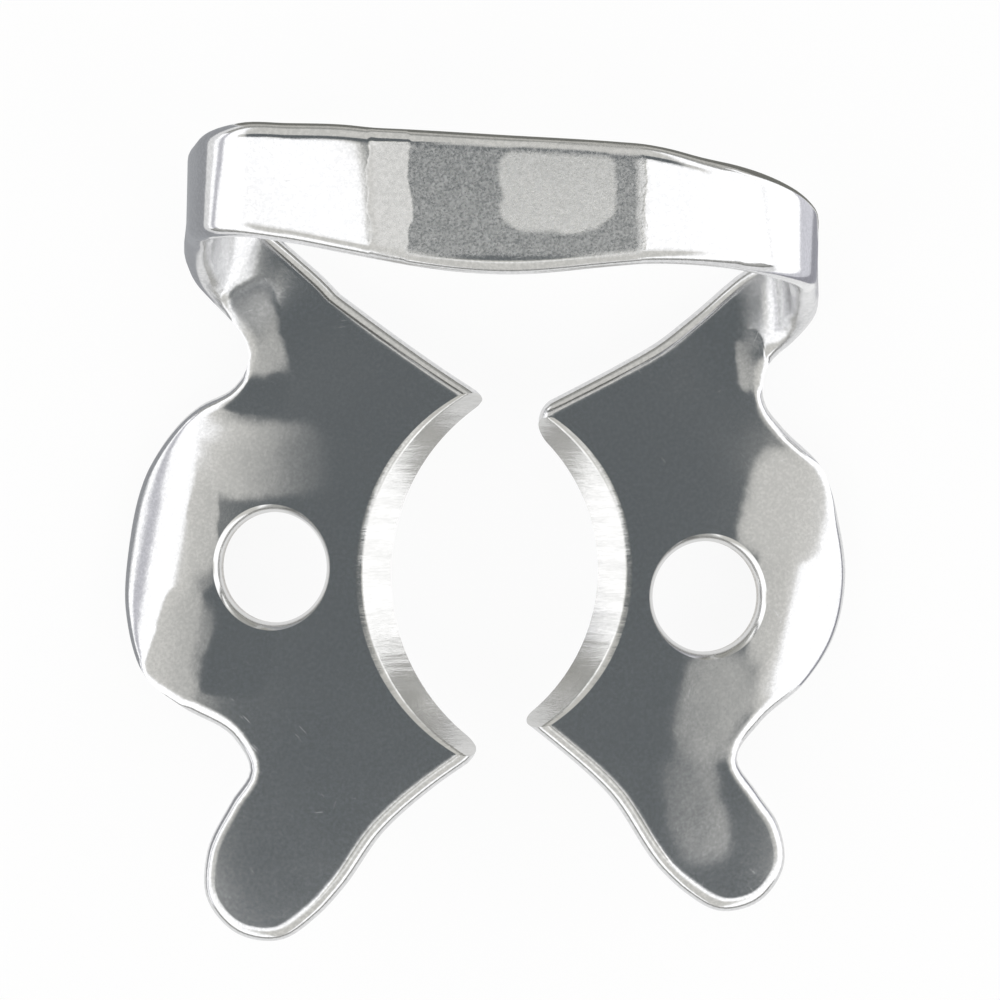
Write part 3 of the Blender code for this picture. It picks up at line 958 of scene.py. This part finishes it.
@dataclass(frozen=True)
class GrindingWheel:
    """The wheel that grinds a jaw's tooth edge, halved at the tooth axis: slanted under the plate, and
    slanted further step by step where it rounds the edge of the upper face."""

    slant: float = 45.0
    break_depth: float = 0.10 * MM
    break_slants: tuple[float, ...] = (52.0, 60.0, 68.0, 77.0)
    last_slant: float = 84.0
    last_rise: float = 0.2 * MM
    past_axis: float = 0.25 * MM
    segments: int = 240

    def steps(self, sheet: Sheet) -> list[tuple[float, float]]:
        """The wheel's slants from below upwards, each with how far it rises."""
        over = 2 * sheet.thickness
        share = self.break_depth / len(self.break_slants)
        under = over + sheet.thickness / 2 - self.break_depth
        broken = [(slant, share) for slant in self.break_slants]
        return [(self.slant, under), *broken, (self.last_slant, self.last_rise)]

    def cutter(self, jaw: Jaw, material: Material) -> Object:
        """The wheel as a solid that is cut from the sheet.

        Args:
            jaw: The jaw that it grinds.
            material: The finish that it leaves.

        Returns:
            The cutter.
        """
        side, over = jaw.side.value, 2 * jaw.sheet.thickness
        radius, reach = jaw.grind_radius * MM, side * jaw.plan.jaw_gap / 2
        back = radius + (over - jaw.sheet.thickness / 2) * slope(self.slant)
        bm = bmesh.new()
        centre = Matrix.Translation((-side * back, 0.0, -over))
        bmesh.ops.create_circle(bm, segments=self.segments, radius=radius, matrix=centre)
        ring = bm.edges[:]
        for slant, rise in self.steps(jaw.sheet):
            raised = bmesh.ops.extrude_edge_only(bm, edges=ring)["geom"]
            verts = [item for item in raised if isinstance(item, BMVert)]
            bmesh.ops.translate(bm, verts=verts, vec=(side * slope(slant) * rise, 0.0, rise))
            ring = [item for item in raised if isinstance(item, BMEdge) and item.is_boundary]
        close(bm)
        whole, past = bm.verts[:] + bm.edges[:] + bm.faces[:], -reach - side * self.past_axis
        bmesh.ops.bisect_plane(bm, geom=whole, plane_co=(past, 0, 0), plane_no=(-side, 0, 0), clear_outer=True)
        close(bm)
        level = Matrix.Rotation(side * math.atan(jaw.plan.plate_fall), 4, "Y")
        place = Matrix.Translation((reach, jaw.tooth_level * MM, 0.0)) @ level
        bmesh.ops.transform(bm, matrix=place, verts=bm.verts)
        return as_object(f"grind_{jaw.side.name.lower()}", bm, material)


@dataclass(frozen=True)
class ForcepsPunch:
    """The punch that pierces a jaw's forceps hole, and the polish that rolls both its rims over."""

    diameter: float = 3.34 * MM
    rim_down: float = 0.30 * MM
    rim_slopes: tuple[float, ...] = (72.0, 62.0, 52.0, 45.0, 40.0)
    segments: int = 128
    weld: float = 0.001 * MM

    def profile(self, sheet: Sheet) -> list[tuple[float, float]]:
        """The punch's radius against its height, waisted where it pierces the sheet."""
        over, rise = 2.0 * sheet.thickness, self.rim_down / len(self.rim_slopes)
        upper = [(self.diameter / 2, sheet.thickness / 2 - self.rim_down)]
        for angle in self.rim_slopes:
            radius, level = upper[-1]
            upper.append((radius + rise / slope(angle), level + rise))
        radius, level = upper.pop()
        upper.append((radius + over / slope(self.rim_slopes[-1]), level + over))
        half = list(reversed(upper))
        return [*half, *((x, -z) for x, z in reversed(half))]

    def cutter(self, jaw: Jaw, wall: Material, rim: Material) -> Object:
        """The punch as a solid that is cut from the sheet.

        Args:
            jaw: The jaw that it pierces.
            wall: The finish of the sheared wall.
            rim: The finish of the rolled rims.

        Returns:
            The cutter.
        """
        bm = bmesh.new()
        verts = [bm.verts.new((x, 0.0, z)) for x, z in self.profile(jaw.sheet)]
        edges = [bm.edges.new(pair) for pair in zip(verts, verts[1:])]
        turned = {"axis": (0, 0, 1), "cent": (0, 0, 0), "angle": math.tau, "steps": self.segments}
        bmesh.ops.spin(bm, geom=verts + edges, use_merge=True, **turned)
        bmesh.ops.remove_doubles(bm, verts=bm.verts, dist=self.weld)
        close(bm)
        waist = jaw.sheet.thickness / 2 - self.rim_down
        for face in bm.faces:
            face.material_index = int(abs(face.calc_center_median().z) > waist)
        x, y = jaw.places([jaw.hole])[0]
        level = jaw.normal(x, y).to_track_quat("Z", "Y").to_matrix().to_4x4()
        bmesh.ops.transform(bm, matrix=Matrix.Translation((x, y, jaw.height(x, y))) @ level, verts=bm.verts)
        return as_object(f"hole_{jaw.side.name.lower()}", bm, wall, rim)


# ---- the clamp


@dataclass(frozen=True)
class NeckEasing:
    """How the bent sheet eases from each plate into the bow, round the seam between them."""

    full: float = 1.4 * MM
    reach: float = 2.8 * MM
    passes: int = 40

    def ease(self, bm: BMesh, seams: list[list[Vector]]) -> None:
        """Smooth the sheet round the seams, across its faces only, so that its rims keep their plan.

        Args:
            bm: The sheet at mid thickness.
            seams: The rows of points where the plates meet the bow.
        """
        points = [point for seam in seams for point in seam]
        tree = KDTree(len(points))
        for i, point in enumerate(points):
            tree.insert(point, i)
        tree.balance()
        moved = []
        for vert in bm.verts:
            near = (self.reach - tree.find(vert.co)[2]) / (self.reach - self.full)
            if near > 0:
                edges = [edge for edge in vert.link_edges if edge.is_boundary or not vert.is_boundary]
                moved.append((vert, 0.5 * min(near, 1.0), [edge.other_vert(vert) for edge in edges]))
        for _ in range(self.passes):
            bm.normal_update()
            steps = []
            for vert, share, others in moved:
                mean = sum((other.co for other in others), Vector()) / len(others)
                steps.append(vert.normal * (share * vert.normal.dot(mean - vert.co)))
            for (vert, _, _), step in zip(moved, steps):
                vert.co += step


@dataclass(frozen=True)
class RestPose:
    """How the clamp leans back and over on its wings and one neck."""

    lean: float = math.radians(9.8)
    roll: float = math.radians(1.4)

    def turn(self) -> Matrix:
        """The turn from plan to rest."""
        return Euler((-self.lean, self.roll, 0.0)).to_matrix().to_4x4()

    def lay(self, piece: Object, low: Vector, high: Vector) -> Matrix:
        """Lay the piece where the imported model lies, no larger than that, and keep its plan as an attribute.

        Args:
            piece: The piece, still level.
            low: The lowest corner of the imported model's box.
            high: Its highest corner.

        Returns:
            The matrix from plan to rest.
        """
        mesh = piece.data
        level = np.empty(3 * len(mesh.vertices))
        mesh.vertices.foreach_get("co", level)
        mesh.attributes.new("plan", "FLOAT_VECTOR", "POINT").data.foreach_set("vector", level)
        turn = self.turn()
        points = level.reshape(-1, 3) @ np.array(turn.to_3x3()).T
        share = min(1.0, *(np.array(high - low) / np.ptp(points, axis=0)))
        mesh.transform(Matrix.Scale(share, 4))
        least, most = share * points.min(axis=0), share * points.max(axis=0)
        middle = (low + high) / 2
        shift = Vector((middle.x - (least[0] + most[0]) / 2, middle.y - (least[1] + most[1]) / 2, low.z - least[2]))
        rest = Matrix.Translation(shift) @ turn
        mesh.transform(rest)
        return rest


@dataclass
class Clamp:
    """The whole clamp, as one piece of sheet."""

    sheet: Sheet = Sheet()
    jaws: tuple[Jaw, Jaw] = (LEFT_JAW, RIGHT_JAW)
    bow: Bow = Bow()
    wheel: GrindingWheel = GrindingWheel()
    punch: ForcepsPunch = ForcepsPunch()
    easing: NeckEasing = NeckEasing()
    rest: RestPose = RestPose()
    polished: PolishedSteel = PolishedSteel()
    ground: GroundSteel = GroundSteel()
    pierced: PiercedSteel = PiercedSteel()
    burnished: BurnishedSteel = BurnishedSteel()
    crease: float = 33.0

    def middle_surface(self) -> BMesh:
        """The sheet at mid thickness, as one open surface."""
        bm = bmesh.new()
        necks = [jaw.neck_row() for jaw in self.jaws]
        for jaw in self.jaws:
            jaw.build(bm)
        self.bow.build(bm, necks)
        bmesh.ops.remove_doubles(bm, verts=bm.verts, dist=self.sheet.weld)
        bmesh.ops.recalc_face_normals(bm, faces=bm.faces)
        self.easing.ease(bm, necks)
        return bm

    def form(self) -> Object:
        """Bend, thicken and roll the sheet, then grind and pierce it.

        Returns:
            The clamp, still level, with its modifiers applied.
        """
        sheet, finish = self.sheet, self.polished.material(self.rest.turn())
        piece = as_object("clamp_sheet", self.middle_surface(), finish)
        even = {"offset": 0.0, "use_even_offset": True}
        modify(piece, "thickness", "SOLIDIFY", thickness=sheet.thickness, **even)
        rolled = {"limit_method": "ANGLE", "angle_limit": sheet.round_over, "use_clamp_overlap": False}
        modify(piece, "rolled_edges", "BEVEL", width=sheet.edge_round, segments=sheet.round_segments, **rolled)
        ground, pierced, burnished = self.ground.material(), self.pierced.material(), self.burnished.material()
        cutters = []
        for jaw in self.jaws:
            cutters += [self.wheel.cutter(jaw, ground), self.punch.cutter(jaw, pierced, burnished)]
        for cutter in cutters:
            cut = {"operation": "DIFFERENCE", "solver": "EXACT", "material_mode": "TRANSFER", "object": cutter}
            modify(piece, cutter.name, "BOOLEAN", **cut)
        made = bpy.data.meshes.new_from_object(piece.evaluated_get(bpy.context.evaluated_depsgraph_get()))
        piece.modifiers.clear()
        piece.data = made
        for cutter in cutters:
            bpy.data.objects.remove(cutter, do_unlink=True)
        return piece

    def dress(self, piece: Object) -> None:
        """Shade the piece smoothly, apart from the creases and borders that the tools leave."""
        bm = bmesh.new()
        bm.from_mesh(piece.data)
        for face in bm.faces:
            face.smooth = True
        for edge in bm.edges:
            finishes = {face.material_index for face in edge.link_faces}
            edge.smooth = len(finishes) == 1 and edge.calc_face_angle(0.0) < math.radians(self.crease)
        bm.to_mesh(piece.data)
        bm.free()

    def build(self) -> tuple[Object, Matrix]:
        """Form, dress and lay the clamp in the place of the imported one.

        Returns:
            The finished piece, and the matrix from plan to rest.
        """
        piece = self.form()
        self.dress(piece)
        rest = self.rest.lay(piece, *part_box("clamp"))
        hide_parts("clamp")
        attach(piece, "root")
        return piece, rest


# ---- the studio


@dataclass(frozen=True)
class Card:
    """A soft-edged card of the tent overhead, placed by the directions it fills: degrees to the right and
    distally from the camera's own."""

    centre: Place
    half: Place
    soft: Place
    colour: Colour

    def mask(self, right: Field, distal: Field) -> Field:
        """Where the card is.

        Args:
            right: The direction's angle to the right.
            distal: Its distal angle.

        Returns:
            1 on the card and 0 off it.
        """
        shares = []
        for angle, centre, half, soft in zip((right, distal), self.centre, self.half, self.soft):
            shares.append(abs(angle - centre).ramp(half + soft / 2, half - soft / 2))
        return shares[0] * shares[1]


@dataclass(frozen=True)
class Flag:
    """A bent card that stands or lies round the clamp, between two bearings in degrees round from the right
    and between two radii and levels. Only the steel's reflections see it."""

    name: str
    bearings: Place
    radii: Place
    levels: Place
    colour: Colour
    pieces: int = 48

    def build(self) -> None:
        """Add the card and its even tone."""
        bm = bmesh.new()
        bearings = np.radians(np.linspace(*self.bearings, self.pieces + 1))
        rings = []
        for radius, level in zip(self.radii, self.levels):
            rings.append([bm.verts.new((radius * math.cos(a), radius * math.sin(a), level)) for a in bearings])
        join_rows(bm, rings)
        made, bench = new_material(self.name)
        bench.show(bench.node("Emission", {"Color": self.colour})["Emission"])
        card = as_object(self.name, bm, made)
        card.visible_camera = card.visible_diffuse = card.visible_shadow = False


BEIGE = (0.80, 0.79, 0.75)
DARK = (0.140, 0.156, 0.164)
WHITE = (1.60, 1.60, 1.61)
DISTAL, MESIAL = (27.0, 153.0), (207.0, 333.0)
DISTAL_FLOOR, RIGHT_FLOOR = (40.0, 119.0), (-30.0, 39.0)
WALL = (0.40, 0.40)
LOW, HIGH, FLOOR = (-0.001, 0.030), (0.030, 0.111), (0.0001, 0.0001)


@dataclass(frozen=True)
class Studio:
    """The light tent, the floor and the camera."""

    scale: float = 0.030 * MM
    distance: float = 97.0 * MM
    aim: Place = (0.175 * MM, 1.80 * MM)
    frame_pixels: int = 1000
    clip: Place = (0.005, 20.0)
    floor_half: float = 2.0
    floor_colour: Colour = (0.93, 0.93, 0.935)
    floor_glow: float = 0.90
    tent: Colour = WHITE
    cards: tuple[Card, ...] = (
        Card((0.0, 48.0), (42.0, 38.0), (14.0, 8.0), BEIGE),
        Card((0.0, -58.0), (42.0, 31.0), (14.0, 14.0), BEIGE),
        Card((0.0, -0.5), (54.0, 11.0), (4.0, 4.0), BEIGE),
        Card((0.0, -13.0), (13.5, 11.0), (3.0, 3.0), (0.84, 0.83, 0.77)),
        Card((0.0, 0.0), (39.5, 9.6), (14.0, 2.5), DARK),
        Card((0.0, -4.0), (11.0, 13.0), (3.0, 3.0), DARK),
        Card((-29.0, -6.0), (9.5, 6.5), (3.0, 3.0), DARK),
        Card((29.0, -6.0), (9.5, 6.5), (3.0, 3.0), DARK),
    )
    flags: tuple[Flag, ...] = (
        Flag("distal_dark", DISTAL, WALL, LOW, (0.30, 0.30, 0.27)),
        Flag("mesial_dark", MESIAL, WALL, LOW, (0.12, 0.12, 0.11)),
        Flag("distal_grey", DISTAL, WALL, HIGH, (0.48, 0.48, 0.46)),
        Flag("mesial_grey", MESIAL, WALL, HIGH, (0.48, 0.48, 0.46)),
        Flag("left_grey", (153.0, 207.0), WALL, (0.060, 0.115), (0.66, 0.66, 0.71)),
        Flag("left_floor", (120.0, 215.0), (0.0105, 0.042), FLOOR, (0.40, 0.41, 0.43)),
        Flag("distal_floor", DISTAL_FLOOR, (0.0128, 0.036), FLOOR, (0.22, 0.22, 0.20)),
        Flag("distal_beige", DISTAL_FLOOR, (0.036, 0.40), FLOOR, (0.62, 0.61, 0.57)),
        Flag("right_floor", RIGHT_FLOOR, (0.0128, 0.0160), FLOOR, (0.36, 0.36, 0.40)),
        Flag("right_grey", RIGHT_FLOOR, (0.0160, 0.0215), FLOOR, (0.80, 0.80, 0.86)),
        Flag("right_white", RIGHT_FLOOR, (0.0215, 0.40), FLOOR, WHITE),
    )

    def build(self, rest: Matrix) -> None:
        """Set up the tent, the cards round the clamp, the floor and the camera.

        Args:
            rest: The clamp's resting matrix, which the camera and the tent lean back with.
        """
        self.hang_tent(rest)
        self.lay_floor()
        for flag in self.flags:
            flag.build()
        self.place_camera(rest)
        bpy.context.scene.view_settings.view_transform = "Standard"

    def hang_tent(self, rest: Matrix) -> None:
        """Light the world evenly, with its cards hung overhead.

        Args:
            rest: The matrix whose axes the cards are placed by.
        """
        world = bpy.data.worlds.new("light_tent")
        bpy.context.scene.world = world
        bench = Bench(world)
        way = bench.node("TexCoord", {})["Generated"]
        right, distal, up = (way.dot(rest.col[i].xyz) for i in range(3))
        across, along = (part.math("ARCTAN2", part, up) * math.degrees(1) for part in (right, distal))
        colour = self.tent
        for card in self.cards:
            colour = bench.mix(card.mask(across, along), colour, card.colour)
        bench.show(bench.node("Background", {"Color": colour})["Background"], "OutputWorld")

    def lay_floor(self) -> None:
        """Lay a pale floor that shows white to the camera and in the steel, and still takes a shadow."""
        bm = bmesh.new()
        bmesh.ops.create_grid(bm, x_segments=8, y_segments=8, size=self.floor_half)
        made, bench = new_material("pale_floor")
        rays = bench.node("LightPath", {})
        seen = rays["Is Camera Ray"].math("MAXIMUM", rays["Is Camera Ray"], rays["Is Glossy Ray"])
        seen = seen.math("MAXIMUM", seen, rays["Is Transmission Ray"])
        paper = bench.node("BsdfDiffuse", {"Color": self.floor_colour})["BSDF"]
        glow = bench.node("Emission", {"Color": (1.0, 1.0, 1.0)})["Emission"]
        bench.show(bench.node("MixShader", {0: seen * self.floor_glow, 1: paper, 2: glow})["Shader"])
        as_object("floor", bm, made)

    def place_camera(self, rest: Matrix) -> None:
        """Place the camera straight over the jaw plates.

        Args:
            rest: The clamp's resting matrix.
        """
        data = bpy.data.cameras.new("camera")
        data.lens = data.sensor_width * self.distance / (self.scale * self.frame_pixels)
        data.clip_start, data.clip_end = self.clip
        camera = bpy.data.objects.new("camera", data)
        bpy.context.scene.collection.objects.link(camera)
        camera.matrix_world = rest @ Matrix.Translation((*self.aim, self.distance))
        bpy.context.scene.camera = camera


def main() -> None:
    """Build the clamp, then the studio round it."""
    logging.basicConfig(level=logging.INFO, format="%(name)s: %(message)s")
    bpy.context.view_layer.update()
    piece, rest = Clamp().build()
    LOG.info("%s: %d faces", piece.name, len(piece.data.polygons))
    Studio().build(rest)
    LOG.info("studio: tent, floor and camera")


if __name__ == "__main__":
    main()
